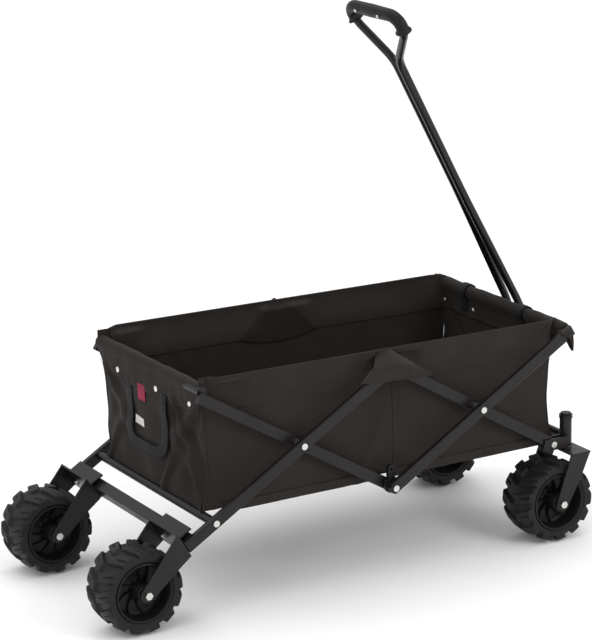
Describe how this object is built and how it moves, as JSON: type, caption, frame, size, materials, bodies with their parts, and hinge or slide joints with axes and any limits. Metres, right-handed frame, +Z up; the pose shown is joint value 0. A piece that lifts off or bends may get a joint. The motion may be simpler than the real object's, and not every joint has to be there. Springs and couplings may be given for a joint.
{
  "type": "folding wagon",
  "caption": "Folding fabric wagon on a steel scissor frame, with wide lugged wheels, two swivel casters and a long D-loop pull handle.",
  "frame": {"origin": "on the ground under the centre of the outline", "axes": "+X to the handle and caster end, +Y to the left of the wagon, +Z up"},
  "size_m": [1.208, 0.574, 1.1986],
  "materials": {
    "frame_paint": "semi-gloss black powder coat",
    "handle_paint": "gloss black powder coat",
    "bolt": "zinc plated",
    "tyre": "matt moulded tread",
    "rim": "satin moulded plastic",
    "moulding": "satin moulded plastic",
    "grip": "soft moulded grip",
    "fabric": "coated woven polyester",
    "board": "stiff boards covered in woven polyester",
    "webbing": "woven webbing",
    "snap": "nickel plated"
  },
  "bodies": {
    "rear_axle": {"rear_axle_bolts": "bolt"},
    "rear_frame": {"rear_lower_bar_left": "frame_paint", "rear_lower_bar_right": "frame_paint", "rear_bottom_crossbar": "frame_paint", "wheel_beam": "frame_paint", "wheel_beam_plugs": "moulding", "rear_bracket_left": "frame_paint", "rear_bracket_right": "frame_paint", "rear_fork_left": "frame_paint", "rear_fork_right": "frame_paint", "rear_fork_bolts": "bolt", "rear_frame_rivets": "bolt"},
    "rear_wheel_left": {"rear_tyre_left": "tyre", "rear_rim_left": "rim"},
    "rear_wheel_right": {"rear_tyre_right": "tyre", "rear_rim_right": "rim"},
    "rear_upper": {"rear_upper_bar_left": "frame_paint", "rear_upper_bar_right": "frame_paint", "rear_top_bar": "frame_paint"},
    "centre": {"centre_bracket_left": "moulding", "centre_bracket_right": "moulding", "centre_crossbar": "frame_paint", "centre_rivets": "bolt"},
    "front_upper": {"front_upper_bar_left": "frame_paint", "front_upper_bar_right": "frame_paint", "front_top_bar": "frame_paint", "front_cross_rivets": "bolt"},
    "front_lower": {"front_lower_bar_left": "frame_paint", "front_lower_bar_right": "frame_paint"},
    "front_carriage": {"front_bottom_crossbar": "frame_paint", "front_clevis_left": "frame_paint", "front_clevis_right": "frame_paint", "front_corner_rivets": "bolt", "caster_post_left": "frame_paint", "caster_post_right": "frame_paint", "caster_post_caps": "moulding"},
    "caster_left": {"caster_fork_left": "frame_paint", "caster_stem_left": "bolt", "front_axle_bolt_left": "bolt"},
    "caster_right": {"caster_fork_right": "frame_paint", "caster_stem_right": "bolt", "front_axle_bolt_right": "bolt"},
    "front_wheel_left": {"front_tyre_left": "tyre", "front_rim_left": "rim"},
    "front_wheel_right": {"front_tyre_right": "tyre", "front_rim_right": "rim"},
    "yoke": {"handle_yoke": "frame_paint"},
    "handle": {"handle_tube": "handle_paint", "handle_bolt": "bolt", "handle_grip": "grip", "grip_screws": "bolt"},
    "tub": {"tub_side_left": "fabric", "tub_side_right": "fabric", "tub_rear_panel": "fabric", "tub_front_panel": "fabric", "tub_floor": "fabric", "floor_board": "board", "centre_pockets": "fabric", "pull_loop": "webbing", "tub_snaps": "snap"}
  },
  "joints": [
    {"name": "fold", "type": "hinge", "parent": "rear_axle", "child": "rear_frame", "pos_m": [-0.512, 0, 0.092], "axis": [0, -1, 0], "range_deg": [0, 45], "deforming": ["tub_side_left", "tub_side_right", "tub_rear_panel", "tub_front_panel", "tub_floor", "floor_board", "centre_pockets", "pull_loop", "tub_snaps"]},
    {"name": "rear_scissor", "type": "hinge", "parent": "rear_frame", "child": "rear_upper", "pos_m": [-0.13898, 0, 0.342], "axis": [0, -1, 0], "range_deg": [-90, 0]},
    {"name": "centre_level", "type": "hinge", "parent": "rear_upper", "child": "centre", "pos_m": [0.085, 0, 0.20742], "axis": [0, -1, 0], "range_deg": [0, 45]},
    {"name": "centre_pivot", "type": "hinge", "parent": "rear_upper", "child": "front_upper", "pos_m": [0.085, 0, 0.20742], "axis": [0, -1, 0], "range_deg": [0, 90]},
    {"name": "front_scissor", "type": "hinge", "parent": "front_upper", "child": "front_lower", "pos_m": [0.30898, 0, 0.342], "axis": [0, -1, 0], "range_deg": [-90, 0]},
    {"name": "front_corner", "type": "hinge", "parent": "front_lower", "child": "front_carriage", "pos_m": [0.51298, 0, 0.21942], "axis": [0, -1, 0], "range_deg": [0, 45]},
    {"name": "tub_level", "type": "hinge", "parent": "rear_frame", "child": "tub", "pos_m": [0.085, 0, 0.47658], "axis": [0, -1, 0], "range_deg": [-45, 0]},
    {"name": "yoke_tilt", "type": "hinge", "parent": "front_carriage", "child": "yoke", "pos_m": [0.561, 0, 0.222], "axis": [0, 1, 0], "range_deg": [0, 27]},
    {"name": "handle_swing", "type": "hinge", "parent": "yoke", "child": "handle", "pos_m": [0.587, 0, 0.222], "axis": [0, 1, 0], "range_deg": [0, 100]},
    {"name": "rear_wheel_spin_left", "type": "hinge", "parent": "rear_axle", "child": "rear_wheel_left", "pos_m": [-0.512, 0.207, 0.092], "axis": [0, 1, 0], "continuous": true},
    {"name": "caster_swivel_left", "type": "hinge", "parent": "front_carriage", "child": "caster_left", "pos_m": [0.561, 0.22, 0.205], "axis": [0, 0, 1], "continuous": true},
    {"name": "front_wheel_spin_left", "type": "hinge", "parent": "caster_left", "child": "front_wheel_left", "pos_m": [0.512, 0.22, 0.092], "axis": [0, 1, 0], "continuous": true},
    {"name": "rear_wheel_spin_right", "type": "hinge", "parent": "rear_axle", "child": "rear_wheel_right", "pos_m": [-0.512, -0.207, 0.092], "axis": [0, 1, 0], "continuous": true},
    {"name": "caster_swivel_right", "type": "hinge", "parent": "front_carriage", "child": "caster_right", "pos_m": [0.561, -0.22, 0.205], "axis": [0, 0, 1], "continuous": true},
    {"name": "front_wheel_spin_right", "type": "hinge", "parent": "caster_right", "child": "front_wheel_right", "pos_m": [0.512, -0.22, 0.092], "axis": [0, 1, 0], "continuous": true}
  ],
  "couplings": [
    {"joint": "rear_scissor", "follows": "fold", "ratio": -2},
    {"joint": "centre_level", "follows": "fold", "ratio": 1},
    {"joint": "centre_pivot", "follows": "fold", "ratio": 2},
    {"joint": "front_scissor", "follows": "fold", "ratio": -2},
    {"joint": "front_corner", "follows": "fold", "ratio": 1},
    {"joint": "tub_level", "follows": "fold", "ratio": -1},
    {"joint": "yoke_tilt", "follows": "fold", "ratio": 0.6}
  ]
}
